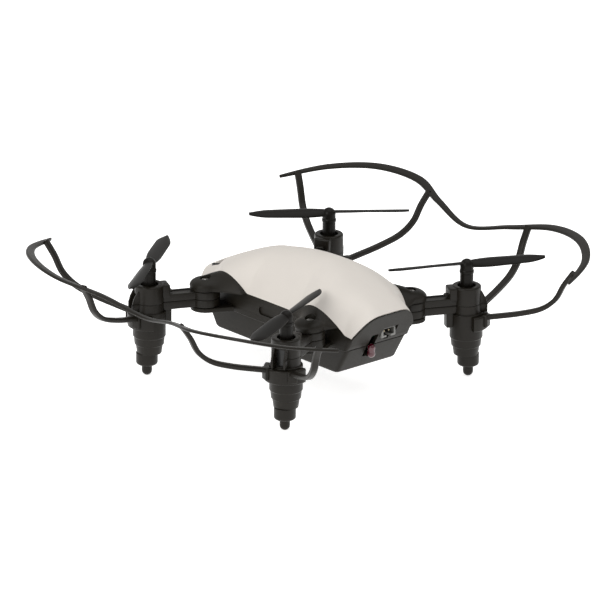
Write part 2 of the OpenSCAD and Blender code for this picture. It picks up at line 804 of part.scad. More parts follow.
// Section of the rail at station i: a flat rounded strap leaning outwards
function rail_ring(path, i) = let (
    t3 = path[min(i + 1, len(path) - 1)] - path[max(i - 1, 0)],
    t = unit([t3[0], t3[1], t3[2]]),
    out = unit([-t[1], t[0], 0]),
    tilt = rail_tilt * (path[i][3] - 0.4),
    wide = cos(tilt) * out + sin(tilt) * [0, 0, 1],
    deep = cross(wide, t),
    p = [path[i][0], path[i][1], path[i][2]])
    [for (k = [0 : RAIL_SECTION - 1]) let (a = 360 * k / RAIL_SECTION,
        c = sign(cos(a)) * sqrt(abs(cos(a))), s = sign(sin(a)) * sqrt(abs(sin(a))))
        p + wide * c * rail_w * path[i][3] / 2 + deep * s * rail_t / 2];

module rail() {
    path = rail_path();
    skin([for (i = [0 : len(path) - 1]) rail_ring(path, i)]);
}

// Middle line of a rib, as distance from the motor axis and height
RIB_LINE = [[5.4, 18.2], [10, 19.3], [16.5, 21], [22.8, 23.3], [27, 26.7], [29.5, 31.3], [32.3, 35.4]];
module rib() {
    line = smooth(RIB_LINE, 4);
    last = len(line) - 1;
    right = [for (i = [0 : last]) let (t = tangent(line, i)) line[i] + [t[1], -t[0]] * rib_t / 2];
    left = [for (i = [last : -1 : 0]) let (t = tangent(line, i)) line[i] - [t[1], -t[0]] * rib_t / 2];
    rotate([90, 0, 0]) linear_extrude(rib_w, center = true) polygon(concat(right, left));
}

// Half-round clip that grips the barrel from the outer side
module clip() {
    clip_half = 86;
    translate([0, 0, clip_z[0]]) rotate(-clip_half) rotate_extrude(angle = 2 * clip_half)
        translate([barrel_r + clip_gap, 0]) square([clip_r - barrel_r - clip_gap, clip_z[1] - clip_z[0]]);
    for (s = SIDES) rotate(s * rib_angle)
        block([barrel_r + clip_gap + 0.2, -1.3, clip_z[0] + 0.8], [clip_r + 0.7, 1.3, clip_z[1] + 0.25]);
}

module guard(sy) {
    color(charcoal) mirror([0, sy < 0 ? 1 : 0, 0]) {
        rail();
        for (sx = SIDES) mirror([sx < 0 ? 1 : 0, 0, 0]) pod_frame() {
            clip();
            for (s = SIDES) rotate(s * rib_angle) rib();
        }
    }
}

/* ---------- pieces ---------- */

canopy();
upper_frame();
lower_shell();
headlight_lenses();
headlight_leds();
hinge_screws();
battery();
battery_pad();
battery_leads();
circuit_board();
board_chips();
board_screws();
charging_socket();
socket_pins();
switch_body();
switch_knob();
antenna_wire();
guard(-1);  // guard_left
guard(1);  // guard_right
for (q = QUARTERS) {
    arm_top(q);
    arm_bottom(q);
    foot(q);
    motor(q);
    motor_shaft(q);
    propeller(q);
    motor_leads(q);
}
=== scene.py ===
"""Mini palm drone with folding arms: the looks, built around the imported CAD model.

+X points to the tail, +Y to the drone's right side, +Z up. Shapes are written in millimetres, and
make_mesh() turns them into metres. One quarter of the drone (tail, right side) is described, and the
other three are mirror images of it.
"""

import math

import bmesh
import bpy
from mathutils import Matrix, Vector


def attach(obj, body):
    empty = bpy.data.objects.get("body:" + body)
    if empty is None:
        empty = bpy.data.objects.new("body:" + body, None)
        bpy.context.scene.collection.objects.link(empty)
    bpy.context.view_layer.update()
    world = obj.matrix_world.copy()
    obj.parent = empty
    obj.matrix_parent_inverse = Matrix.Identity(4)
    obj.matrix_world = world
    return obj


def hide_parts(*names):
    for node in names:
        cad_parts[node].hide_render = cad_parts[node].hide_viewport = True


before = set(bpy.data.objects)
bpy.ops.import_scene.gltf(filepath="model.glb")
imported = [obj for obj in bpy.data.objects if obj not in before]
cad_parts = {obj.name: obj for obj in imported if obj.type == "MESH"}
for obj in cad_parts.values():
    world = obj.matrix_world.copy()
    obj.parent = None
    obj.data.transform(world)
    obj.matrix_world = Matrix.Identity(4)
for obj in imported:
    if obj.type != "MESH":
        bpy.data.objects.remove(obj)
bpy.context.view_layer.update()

MM = 0.001
SIDES = (-1, 1)
QUARTERS = {"front_left": (-1, -1), "rear_left": (1, -1), "rear_right": (1, 1), "front_right": (-1, 1)}

# Sizes shared with the CAD source
PIVOT_X, PIVOT_Y = 22.4, 18.85
ARM_LEN, ARM_ANGLE = 16.4, math.radians(65)
POD_X = PIVOT_X + ARM_LEN * math.cos(ARM_ANGLE)
POD_Y = PIVOT_Y + ARM_LEN * math.sin(ARM_ANGLE)
ARM_Z, ARM_SPLIT_Z, ARM_TOP_Z = 19.6, 21.9, 24.1
ARM_W = 4.5
KNUCKLE_R, POST_R, HINGE_GAP, SCREW_HOLE_R, LUG_Z = 4.2, 2.1, 0.05, 0.62, 18.2
MOTOR_R, MOTOR_GAP, MOTOR_TOP_Z, PLUG_TOP_Z = 3.5, 0.02, 24.7, 8.7
HOUSING_R, HOUSING_TOP_Z = 4.15, 27.2
BARREL_R = 4.7
FOOT_PIN_R, FOOT_CAP_R, FOOT_TOP_Z, FOOT_SHIFT = 1.47, 3.1, 6.7, 0.7
PROP_R, BLADE_Z, BLADE_CHORD = 23.0, 33.3, 4.2
HUB_R, HUB_BOTTOM_Z, HUB_TOP_Z = 1.9, 25.7, 34.9
BLADE_ANGLES = {1: 65, -1: 53}
RAIL_R, RAIL_W, RAIL_T, RAIL_TILT = 33.5, 2.8, 0.9, 25
RIB_ANGLE, RIB_W, RIB_T = 40, 2.0, 1.4
CLIP_R, CLIP_Z, CLIP_GAP = 6.2, (14.8, 19.0), 0.15
BELLY_Z, BELLY_HALF, BELLY_TAIL_X, BELLY_NOSE_X = 9.6, 11.0, 24.6, -26.9
END_LEAN, CANOPY_LEAN = 0.6, 0.64
LEDGE_Z, SPLIT_Z = 17.4, 19.4
BODY_HALF, WALL = 13.5, 1.2
CREST_Z, CREST_X, TAIL_CREST_Z, NOSE_DROP = 37.8, 10.0, 27.4, 13.0
EDGE_Z, ARCH_RISE = 24.6, 5.2
ARCH_X, ARCH_INNER, ARCH_OUTER, ARCH_POWER = 19.6, 8.8, 9.4, 0.85
CAP_BOTTOM_Z, CAP_TOP_Z, CAP_R = 24.3, 27.4, 4.5
SCREW_SEAT_Z, SCREW_RECESS_R, SCREW_HEAD_R = 26.3, 1.5, 1.2
SOCKET_Y, SOCKET_FACE_X, SOCKET_BASE_Z = 2.6, 31.3, 19.4
SOCKET_SIZE = (8.5, 5.3, 3.1)
SWITCH_Y, KNOB_BOTTOM_Z, KNOB_FACE_X = -2.4, 13.9, 30.8
KNOB_R, KNOB_HEIGHT = 1.15, 4.1
SLOT_SIZE = (2.6, 7.4)


# ---------- mesh helpers ----------

def make_mesh(name, verts, faces, matrix=None):
    """A mesh object from points in millimetres, placed by matrix."""
    if matrix is not None:
        verts = [matrix @ Vector(v) for v in verts]
    mesh = bpy.data.meshes.new(name)
    mesh.from_pydata([[c * MM for c in v] for v in verts], [], faces)
    obj = bpy.data.objects.new(name, mesh)
    bpy.context.scene.collection.objects.link(obj)
    work = bmesh.new()
    work.from_mesh(mesh)
    bmesh.ops.recalc_face_normals(work, faces=work.faces)
    if work.calc_volume(signed=True) < 0:
        bmesh.ops.reverse_faces(work, faces=work.faces)
    work.to_mesh(mesh)
    work.free()
    return obj


def loft(rings, closed=False):
    """Points and faces of a skin over rings of equal size: capped, or closed on itself."""
    n, m = len(rings[0]), len(rings)
    faces = []
    for i in range(m if closed else m - 1):
        a, b = i * n, ((i + 1) % m) * n
        faces += [(a + j, a + (j + 1) % n, b + (j + 1) % n, b + j) for j in range(n)]
    if not closed:
        faces += [tuple(range(n)), tuple(range((m - 1) * n, m * n))]
    return [p for ring in rings for p in ring], faces


def lathe(profile, steps=64):
    """Points and faces of a solid of revolution about Z. The profile starts and ends on the axis."""
    verts = [(0, 0, profile[0][1])]
    inner = profile[1:-1]
    for r, z in inner:
        verts += [(r * math.cos(2 * math.pi * k / steps), r * math.sin(2 * math.pi * k / steps), z)
                  for k in range(steps)]
    verts.append((0, 0, profile[-1][1]))
    faces = []
    for i in range(len(inner) - 1):
        a, b = 1 + i * steps, 1 + (i + 1) * steps
        faces += [(a + k, a + (k + 1) % steps, b + (k + 1) % steps, b + k) for k in range(steps)]
    last = 1 + (len(inner) - 1) * steps
    faces += [(0, 1 + (k + 1) % steps, 1 + k) for k in range(steps)]
    faces += [(len(verts) - 1, last + k, last + (k + 1) % steps) for k in range(steps)]
    return verts, faces


def rod(name, r, z0, z1, matrix, steps=64):
    """An upright cylinder."""
    return make_mesh(name, *lathe([(0, z0), (r, z0), (r, z1), (0, z1)], steps), matrix)


def rounded(corners, steps=6, closed=False):
    """A path through corners (x, y, radius), each one rounded by its radius."""
    out = []
    n = len(corners)
    for i, (x, y, r) in enumerate(corners):
        here = Vector((x, y))
        if r == 0 or (not closed and i in (0, n - 1)):
            out.append((x, y))
            continue
        before = Vector(corners[i - 1][:2]) - here
        after = Vector(corners[(i + 1) % n][:2]) - here
        half = before.angle(after) / 2
        reach = min(r / math.tan(half), before.length * 0.49, after.length * 0.49)
        radius = reach * math.tan(half)
        a, b = before.normalized(), after.normalized()
        centre = here + (a + b).normalized() * radius / math.sin(half)
        start, end = here + a * reach - centre, here + b * reach - centre
        turn = start.angle_signed(end) if start.length and end.length else 0
        for k in range(steps + 1):
            t = -turn * k / steps
            out.append((centre.x + start.x * math.cos(t) - start.y * math.sin(t),
                        centre.y + start.x * math.sin(t) + start.y * math.cos(t)))
    return out


def block(low, high, edge=0.2, segments=3, matrix=None):
    """A box between two corners with all its edges rounded."""
    work = bmesh.new()
    bmesh.ops.create_cube(work, size=1)
    for v in work.verts:
        v.co = Vector([low[i] + (high[i] - low[i]) * (v.co[i] + 0.5) for i in range(3)])
    if edge:
        bmesh.ops.bevel(work, geom=work.edges[:], offset=edge, segments=segments, profile=0.5,
                        affect="EDGES")
    verts = [v.co[:] for v in work.verts]
    faces = [[v.index for v in f.verts] for f in work.faces]
    work.free()
    return make_mesh("block", verts, faces, matrix)


def prism(outline, z0, z1, edge=0.2, matrix=None):
    """An outline pulled up from z0 to z1, with rounded top and bottom edges."""
    def inset(distance):
        n = len(outline)
        area = sum(outline[i - 1][0] * outline[i][1] - outline[i][0] * outline[i - 1][1] for i in range(n))
        sense = 1 if area > 0 else -1
        ring = []
        for i in range(n):
            along = Vector(outline[(i + 1) % n]) - Vector(outline[i - 1])
            normal = Vector((-along.y, along.x)).normalized() * sense
            ring.append((outline[i][0] + normal.x * distance, outline[i][1] + normal.y * distance))
        return ring
    levels = [(z0, edge), (z0 + 0.3 * edge, 0.3 * edge), (z0 + edge, 0), (z1 - edge, 0),
              (z1 - 0.3 * edge, 0.3 * edge), (z1, edge)]
    if not edge:
        levels = [(z0, 0), (z1, 0)]
    rings = [[(x, y, z) for x, y in inset(d)] for z, d in levels]
    return make_mesh("prism", *loft(rings), matrix)


def boolean(target, tools, operation, folded=False):
    """Applies the tools to the target one by one and removes them. A folded target crosses itself."""
    for tool in tools:
        cut = target.modifiers.new("cut", "BOOLEAN")
        cut.operation = operation
        cut.solver = "EXACT"
        cut.use_self = folded
        cut.object = tool
        apply_modifiers(target)
        bpy.data.objects.remove(tool)
    return target


def apply_modifiers(obj):
    bpy.context.view_layer.update()
    evaluated = obj.evaluated_get(bpy.context.evaluated_depsgraph_get())
    mesh = bpy.data.meshes.new_from_object(evaluated)
    obj.modifiers.clear()
    obj.data = mesh


def join(name, objs):
    """Separate closed pieces of one moulding or one kind, in one object."""
    mesh = bpy.data.meshes.new(name)
    work = bmesh.new()
    for obj in objs:
        work.from_mesh(obj.data)
        bpy.data.objects.remove(obj)
    work.to_mesh(mesh)
    work.free()
    out = bpy.data.objects.new(name, mesh)
    bpy.context.scene.collection.objects.link(out)
    return out


def finish_piece(obj, name, body, nodes, materials, sharp=35):
    """Names the piece, shades it, gives it its materials, hangs it on its body's empty and hides the CAD
    nodes it replaces.
    """
    obj.name = obj.data.name = name
    for material in materials:
        obj.data.materials.append(material)
    for face in obj.data.polygons:
        face.use_smooth = True
    obj.data.set_sharp_from_angle(angle=math.radians(sharp))
    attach(obj, body)
    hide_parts(*nodes)
    return obj


def mirrored(obj, sx, sy):
    """A copy of a piece described in the tail right quarter, in another quarter."""
    copy = obj.copy()
    copy.data = obj.data.copy()
    bpy.context.scene.collection.objects.link(copy)
    copy.data.transform(Matrix.Diagonal((sx, sy, 1, 1)))
    if sx * sy < 0:
        copy.data.flip_normals()
    return copy


def in_arm(shift=(0, 0, 0)):
    """Arm frame: origin on the hinge axis, +X towards the motor."""
    place = Matrix.Translation((PIVOT_X, PIVOT_Y, 0)) @ Matrix.Rotation(ARM_ANGLE, 4, "Z")
    return place @ Matrix.Translation(shift)


def in_pod(shift=(0, 0, 0)):
    """Pod frame: origin on the motor axis, +X outwards along the arm."""
    return in_arm((ARM_LEN, 0, 0)) @ Matrix.Translation(shift)


def turned(angle):
    return Matrix.Rotation(math.radians(angle), 4, "Z")


# ---------- materials ----------

def noise_factor(tree, scale, detail):
    coords = tree.nodes.new("ShaderNodeTexCoord")
    noise = tree.nodes.new("ShaderNodeTexNoise")
    noise.inputs["Scale"].default_value = scale
    noise.inputs["Detail"].default_value = detail
    noise.inputs["Roughness"].default_value = 0.6
    tree.links.new(coords.outputs["Object"], noise.inputs["Vector"])
    return noise.outputs["Fac"]


def ramp(tree, factor, low, high):
    """A colour that goes from low to high as the factor goes from 0.3 to 0.7."""
    node = tree.nodes.new("ShaderNodeValToRGB")
    for element, position, colour in zip(node.color_ramp.elements, (0.3, 0.7), (low, high)):
        element.position = position
        element.color = (*colour, 1)
    tree.links.new(factor, node.inputs["Fac"])
    return node.outputs["Color"]


def surface(name, colour, roughness, spread=0.08, grain=9000, bump=0.05, mottle=180, metallic=0.0,
            coat=0.0, specular=0.5):
    """Moulded plastic or plain metal: mottled colour, fine grain in its roughness and relief."""
    material = bpy.data.materials.new(name)
    material.use_nodes = True
    tree = material.node_tree
    shader = tree.nodes["Principled BSDF"]
    shader.inputs["Metallic"].default_value = metallic
    shader.inputs["Coat Weight"].default_value = coat
    shader.inputs["Coat Roughness"].default_value = 0.08
    shader.inputs["Specular IOR Level"].default_value = specular
    low = [c * (1 - spread) for c in colour]
    high = [min(c * (1 + spread), 1) for c in colour]
    tree.links.new(ramp(tree, noise_factor(tree, mottle, 3), low, high), shader.inputs["Base Color"])
    fine = noise_factor(tree, grain, 2)
    spread_rough = tree.nodes.new("ShaderNodeMapRange")
    spread_rough.inputs["To Min"].default_value = max(roughness - 0.06, 0.02)
    spread_rough.inputs["To Max"].default_value = min(roughness + 0.06, 1)
    tree.links.new(fine, spread_rough.inputs["Value"])
    tree.links.new(spread_rough.outputs["Result"], shader.inputs["Roughness"])
    relief = tree.nodes.new("ShaderNodeBump")
    relief.inputs["Strength"].default_value = bump
    relief.inputs["Distance"].default_value = 0.05 * MM
    tree.links.new(fine, relief.inputs["Height"])
    tree.links.new(relief.outputs["Normal"], shader.inputs["Normal"])
    return material


CANOPY_GREY = surface("canopy_grey", (0.60, 0.565, 0.525), 0.6, spread=0.03, bump=0.08, mottle=60)
CHARCOAL = surface("charcoal_plastic", (0.0085, 0.0069, 0.0047), 0.36, spread=0.12, bump=0.25, specular=0.2)
CHARCOAL_FRAME = surface("charcoal_frame", (0.0105, 0.0088, 0.0062), 0.46, spread=0.12, bump=0.3,
                         specular=0.18)
PROPELLER_BLACK = surface("propeller_black", (0.006, 0.0052, 0.0042), 0.34, spread=0.1, bump=0.08,
                          specular=0.12)
LENS_BLACK = surface("lens_black", (0.004, 0.004, 0.0045), 0.25, spread=0.1, bump=0.02, specular=0.15)
KNOB_RED = surface("knob_red", (0.060, 0.0015, 0.009), 0.12, spread=0.15, bump=0.02, coat=0.6)
SOCKET_GREY = surface("socket_grey", (0.17, 0.168, 0.16), 0.4, spread=0.05, bump=0.1)
SOCKET_DARK = surface("socket_dark", (0.11, 0.108, 0.10), 0.5, spread=0.1, bump=0.1)
BRIGHT_STEEL = surface("bright_steel", (0.45, 0.44, 0.42), 0.3, spread=0.06, bump=0.05, metallic=1.0)
# The motor can is near-black as painted shade of the slot behind the motor window; the can itself is bright
# steel.
MOTOR_STEEL_PAINTED_SHADE = surface("motor_steel", (0.03, 0.03, 0.03), 0.3, spread=0.08, bump=0.06, metallic=0.5,
                      specular=0.3)
PIN_BRASS = surface("pin_brass", (0.34, 0.29, 0.20), 0.3, spread=0.06, bump=0.04, metallic=1.0)
BATTERY_FOIL = surface("battery_foil", (0.55, 0.56, 0.58), 0.35, spread=0.05, bump=0.5, grain=1500,
                       metallic=0.8)
FOAM_BLACK = surface("foam_black", (0.03, 0.03, 0.03), 0.95, spread=0.3, bump=1.0, grain=4000)
BOARD_GREEN = surface("board_green", (0.018, 0.10, 0.045), 0.35, spread=0.25, bump=0.15, mottle=900)
CHIP_BLACK = surface("chip_black", (0.018, 0.018, 0.019), 0.55, spread=0.1, bump=0.3)
WIRE_COVER = surface("wire_cover", (0.35, 0.03, 0.025), 0.4, spread=0.08, bump=0.05)
LED_CLEAR = surface("led_clear", (0.80, 0.81, 0.78), 0.12, spread=0.03, bump=0.02, coat=0.5)
MARK_WHITE = surface("mark_white", (0.62, 0.61, 0.58), 0.5, spread=0.04, bump=0.05)


# ---------- body curves ----------

HALF_LENGTH, SIDE_TAPER, EDGE_DROP = 34, 2.9, 3.4


def half_width(x):
    return BODY_HALF - SIDE_TAPER * (abs(x) / HALF_LENGTH) ** 4


def tail_x(z, lean):
    return BELLY_TAIL_X + lean * (z - BELLY_Z)


def nose_x(z, lean):
    return BELLY_NOSE_X - lean * (z - BELLY_Z)


CANOPY_TAIL_X = tail_x(TAIL_CREST_Z, CANOPY_LEAN)
CANOPY_NOSE_X = nose_x(CREST_Z - NOSE_DROP, CANOPY_LEAN)


def crest(x):
    if x > CREST_X:
        return CREST_Z - (CREST_Z - TAIL_CREST_Z) * ((x - CREST_X) / (CANOPY_TAIL_X - CREST_X)) ** 1.75
    return CREST_Z - NOSE_DROP * ((CREST_X - x) / (CREST_X - CANOPY_NOSE_X)) ** 2.05


def arch(x):
    """Share of the arch's full rise at x: 1 in the middle of a hinge arch, 0 away from it."""
    d = abs(x) - ARCH_X
    reach = ARCH_INNER if d < 0 else ARCH_OUTER
    return math.cos(math.pi / 2 * d / reach) ** ARCH_POWER if abs(d) < reach else 0


def edge_height(x):
    return EDGE_Z - EDGE_DROP * (abs(x) / HALF_LENGTH) ** 3 + ARCH_RISE * arch(x)


def canopy_z(x, v, sink=0.0):
    """Height of the canopy's skin at x, with v from -1 to 1 across it. The inside is sunk by sink."""
    power = 2.3 + 2.6 * min(abs(x) / 36, 1) ** 3
    return edge_height(x) + (crest(x) - sink - edge_height(x)) * (1 - abs(v) ** power)


def canopy_wall(x):
    """Thickness of the canopy: thinner towards its tail and nose edges."""
    return WALL - EDGE_THINNING * min(max((abs(x) - 26) / 6, 0), 1)


def meet(v, sink, towards):
    """Where a line along the canopy meets the leaning end plane, by repeated correction."""
    x = 32.0 if towards > 0 else -34.0
    for _ in range(14):
        z = canopy_z(x, v, sink)
        x = (x + (tail_x(z, END_LEAN) if towards > 0 else nose_x(z, CANOPY_LEAN))) / 2
    return x


# ---------- canopy ----------

CANOPY_LONG, CANOPY_WIDE = 150, 80
FLARE = 1.5
EDGE_THINNING = 0.75
TAIL_PLATE_T = 0.5
RIM_SHARES = (0.12, 0.35, 0.65, 0.88)
RIM_STEPS = len(RIM_SHARES)
EYE_X, EYE_Y, EYE_TURN, LENS_TOP_Z = -30.5, 7.4, -20, 26.7


def in_eye(sy):
    """Frame of a nose window on side sy."""
    return Matrix.Translation((EYE_X, sy * EYE_Y, 0)) @ Matrix.Diagonal((1, sy, 1, 1)) @ turned(EYE_TURN)


def canopy_point(i, j, inside):
    """Point i along and j across the canopy, on its outside or inside."""
    v = math.sin(math.pi / 2 * (2 * j / CANOPY_WIDE - 1))
    sink = canopy_wall(CANOPY_NOSE_X + (CANOPY_TAIL_X - CANOPY_NOSE_X) * i / CANOPY_LONG) if inside else 0
    xn, xt = meet(v, sink, -1), meet(v, sink, 1) - TAIL_PLATE_T
    x = xn + (xt - xn) * i / CANOPY_LONG
    flare = FLARE * arch(x) * math.copysign(abs(v) ** 9, v)
    return x, (half_width(x) - sink) * v + flare, canopy_z(x, v, sink)


def build_canopy():
    """The shell as one closed skin: outside, rounded rim, inside."""
    rings = []
    for i in range(CANOPY_LONG + 1):
        outer = [canopy_point(i, j, False) for j in range(CANOPY_WIDE + 1)]
        inner = [canopy_point(i, j, True) for j in range(CANOPY_WIDE, -1, -1)]
        rims = []
        for a, b in ((outer[-1], inner[0]), (inner[-1], outer[0])):
            rims.append([(a[0] + (b[0] - a[0]) * t, a[1] + (b[1] - a[1]) * t,
                          a[2] + (b[2] - a[2]) * t - 0.25 * math.sin(math.pi * t))
                         for t in RIM_SHARES])
        rings.append(outer + rims[0] + inner + rims[1])
    verts, faces = loft(rings)
    faces = faces[:-2]
    n, w = len(rings[0]), CANOPY_WIDE
    for base in (0, CANOPY_LONG * n):
        last = n - RIM_STEPS - 1
        for j in range(w):
            a, b = base + j, base + j + 1
            d, c = base + last - j, base + last - j - 1
            faces.append((a, b, c, d))
        faces.append(tuple(base + w + k for k in range(RIM_STEPS + 2)))
        faces.append((base, *[base + last + k for k in range(RIM_STEPS + 1)]))
    canopy = make_mesh("canopy", verts, faces)
    tools = []
    for sy in SIDES:
        outline = rounded([(-2.6, -0.6, 0.25), (2.4, -1.6, 0.25), (1.6, 1.6, 0.4)], 4, closed=True)
        tools.append(prism(outline, 20, 34, 0, in_eye(sy)))
    return boolean(canopy, tools, "DIFFERENCE")


def build_lenses():
    """The two dark windows, a little smaller than their holes in the canopy."""
    lenses = []
    for sy in SIDES:
        outline = rounded([(-2.45, -0.6, 0.25), (2.3, -1.5, 0.25), (1.5, 1.5, 0.4)], 4, closed=True)
        lenses.append(prism(outline, LENS_TOP_Z - 1.8, LENS_TOP_Z, 0.25, in_eye(sy)))
    return join("lenses", lenses)


# ---------- dark body ----------

SIDE_STEPS, END_STEPS, CORNER_STEPS = 90, 16, 6
SEAM_INSET = 0.01
SEAM_GAP = 0.005
RIM_GAP = 0.12
BODY_CORNER = 1.1


def body_outline(z_of, half_of, inset):
    """Points round the body from the tail's left corner on: (x, y, z), with z from z_of(x, y)."""
    def end_x(side, z):
        lean_x = tail_x(z, END_LEAN) if side > 0 else nose_x(z, END_LEAN)
        return lean_x - side * inset

    def straight(side, z):
        return half_of(abs(end_x(side, z)) - BODY_CORNER) - inset - BODY_CORNER

    def point(x_of, y_of):
        z = SPLIT_Z
        for _ in range(8):
            z = z_of(x_of(z), y_of(z))
        return x_of(z), y_of(z), z

    def corner_point(end, side, share):
        t = math.pi / 2 * share
        return point(lambda z: end_x(end, z) - end * BODY_CORNER * (1 - math.cos(t)),
                     lambda z: side * (straight(end, z) + BODY_CORNER * math.sin(t)))

    def side_point(side, share):
        def x_of(z):
            low, high = end_x(-1, z) + BODY_CORNER, end_x(1, z) - BODY_CORNER
            return low + (high - low) * share
        return point(x_of, lambda z: side * (half_of(abs(x_of(z))) - inset))

    ring = []
    for side in (1, -1):
        for k in range(END_STEPS + 1):
            share = side * (2 * k / END_STEPS - 1)
            ring.append(point(lambda z: end_x(side, z), lambda z: share * straight(side, z)))
        ring += [corner_point(side, side, k / CORNER_STEPS) for k in range(1, CORNER_STEPS)]
        for k in range(SIDE_STEPS + 1):
            share = k / SIDE_STEPS if side < 0 else 1 - k / SIDE_STEPS
            ring.append(side_point(side, share))
        ring += [corner_point(-side, side, k / CORNER_STEPS) for k in range(CORNER_STEPS - 1, 0, -1)]
    return ring


def band_half(x):
    return half_width(x) - 0.15


def tub_half(x):
    return min(BELLY_HALF, band_half(x))


def flat(z):
    return lambda x, y: z


def frame_top(x, y):
    """Top of the dark frame: just below the canopy's rim at the sides and its skin at the ends."""
    inner = half_width(x) - canopy_wall(x)
    if abs(y) < inner:
        return canopy_z(x, y / inner, canopy_wall(x)) - RIM_GAP
    return edge_height(x) - RIM_GAP


CAP_SECTION = 44
CAP_HOOD_Z = CAP_BOTTOM_Z + 1.0
CAP_SKIRT_STEP = 0.45
CAP_WALL_X = (10.9, 27.6)
CAP_ROOT_Y = 12.0
CAP_HOLD = 0.3
CAP_FALL = 2.2


def cap_ring(reach, half, top):
    """Section of a hinge cap. Reach 0 fills the arch of the canopy, 1 crosses the hinge axis."""
    share = min(max((reach - CAP_HOLD) / (1 - CAP_HOLD), 0), 1)
    narrow, sink = 1 - (1 - share) ** 1.7, share ** 1.3
    direction = Vector((math.cos(ARM_ANGLE), math.sin(ARM_ANGLE)))
    across = Vector((direction.y, -direction.x))
    ring = []
    for k in range(CAP_SECTION + 1):
        a = math.pi * k / CAP_SECTION
        c, s = math.cos(a), max(math.sin(a), 0)
        t = math.copysign(abs(c) ** 0.8, c)
        wall_x = (CAP_WALL_X[0] + CAP_WALL_X[1]) / 2 + (CAP_WALL_X[1] - CAP_WALL_X[0]) / 2 * t
        wall_y = band_half(wall_x) - 0.4
        hinge = Vector((PIVOT_X, PIVOT_Y)) + direction * max(reach - 1, 0) + across * half * t
        wall_z = max(edge_height(wall_x) - RIM_GAP, CAP_BOTTOM_Z + 0.15)
        ring.append((wall_x + (hinge.x - wall_x) * narrow, wall_y + (hinge.y - wall_y) * min(reach, 1),
                     wall_z + (CAP_HOOD_Z + (top - CAP_HOOD_Z) * s ** 0.8 - wall_z) * sink))
    first, last = Vector(ring[0]), Vector(ring[-1])
    middle = (first + last) / 2
    step = min(CAP_SKIRT_STEP / max((first - middle).length, CAP_SKIRT_STEP * 2), 0.5)
    for corner, z in ((last, last.z), (last, CAP_BOTTOM_Z), (first, CAP_BOTTOM_Z), (first, first.z)):
        inward = corner + (middle - corner) * step
        ring.append((inward.x, inward.y, z))
    return ring


def build_cap():
    """One hinge cap: a smooth hood from the arch of the canopy to the hinge, over a set-back skirt."""
    rings = [cap_ring(k / 20, CAP_R, CAP_TOP_Z) for k in range(21)]
    rings.insert(0, [(x, CAP_ROOT_Y, z) for x, _, z in rings[0]])
    for x in [0.6 * k for k in range(1, 6)] + [3.5, 3.9, 4.15, 4.32, 4.43, 4.49]:
        half = math.sqrt(CAP_R ** 2 - x * x)
        rings.append(cap_ring(1 + x, half, CAP_TOP_Z - CAP_FALL * (1 - half / CAP_R)))
    cap = make_mesh("cap", *loft(rings))
    recess = make_mesh("recess", *lathe([(0, SCREW_SEAT_Z), (SCREW_RECESS_R, SCREW_SEAT_Z),
                                         (SCREW_RECESS_R, 26.9), (SCREW_RECESS_R + 0.5, 30), (0, 30)], 48),
                       in_arm())
    return boolean(cap, [recess], "DIFFERENCE", folded=True)


def slot_tool():
    """The upright rounded slot in the tail face that the slider moves in."""
    half = SLOT_SIZE[0] / 2
    z0, z1 = KNOB_BOTTOM_Z - 0.2, KNOB_BOTTOM_Z - 0.2 + SLOT_SIZE[1]
    outline = rounded([(-half, z0, 0.6), (half, z0, 0.6), (half, z1, 0.6), (-half, z1, 0.6)], 5, closed=True)
    place = Matrix.Translation((0, SWITCH_Y, 0)) @ Matrix.Rotation(math.pi / 2, 4, "Z") @ \
        Matrix.Rotation(math.pi / 2, 4, "X")
    return prism(outline, 20, 36, 0, place)


RECESS_X, RECESS_Z, RECESS_LONG, RECESS_HALF = -2.5, 21, 3.2, 1.2


def recess_tool():
    """The shallow oval finger recess in the left side."""
    r = RECESS_HALF - 0.01
    outline = rounded([(-RECESS_LONG, -RECESS_HALF, r), (RECESS_LONG, -RECESS_HALF, r),
                       (RECESS_LONG, RECESS_HALF, r), (-RECESS_LONG, RECESS_HALF, r)], 8, closed=True)
    place = Matrix.Translation((RECESS_X, -BODY_HALF + 0.6, RECESS_Z)) @ Matrix.Rotation(math.pi / 2, 4, "X")
    return prism(outline, 0, 3, 0, place)


def build_tail_plate():
    """The rim of the tail face, which the canopy butts against."""
    rings = []
    for depth in (TAIL_PLATE_T + 0.3, TAIL_PLATE_T - 0.05, 0):
        grow = 0.03 if depth < TAIL_PLATE_T else -0.6
        ring = []
        for k in range(49):
            v = math.sin(math.pi / 2 * (2 * k / 48 - 1))
            x = meet(v, 0, 1)
            ring.append((x - depth, (half_width(x) + grow) * v, canopy_z(x, v) + grow))
        foot_z = SPLIT_Z + 1
        foot_x = tail_x(foot_z, END_LEAN)
        foot_half = band_half(foot_x) - 0.1
        ring += [(foot_x - depth, foot_half, foot_z), (foot_x - depth, -foot_half, foot_z)]
        rings.append(ring)
    return make_mesh("tail_plate", *loft(rings))


def build_upper_frame():
    """The band under the canopy, with the hinge caps, the tail rim and its openings."""
    rings = [
        body_outline(flat(SPLIT_Z), band_half, SEAM_INSET),
        body_outline(flat(SPLIT_Z + 0.15), band_half, 0),
        body_outline(lambda x, y: SPLIT_Z + 0.5 * (frame_top(x, y) - SPLIT_Z), band_half, 0),
        body_outline(frame_top, band_half, 0),
        body_outline(frame_top, band_half, WALL),
        body_outline(flat(SPLIT_Z), band_half, WALL),
    ]
    shell = make_mesh("upper_frame", *loft(rings, closed=True))
    cap = build_cap()
    caps = [mirrored(cap, sx, sy) for sx, sy in QUARTERS.values()]
    bpy.data.objects.remove(cap)
    boolean(shell, [*caps, build_tail_plate()], "UNION")
    sx, sy, sz = SOCKET_SIZE
    gap = 0.12
    socket_room = block((20, SOCKET_Y - sy / 2 - gap, SPLIT_Z - 2), (40, SOCKET_Y + sy / 2 + gap,
                        SOCKET_BASE_Z + sz + gap), 0)
    return boolean(shell, [slot_tool(), socket_room, recess_tool()], "DIFFERENCE")


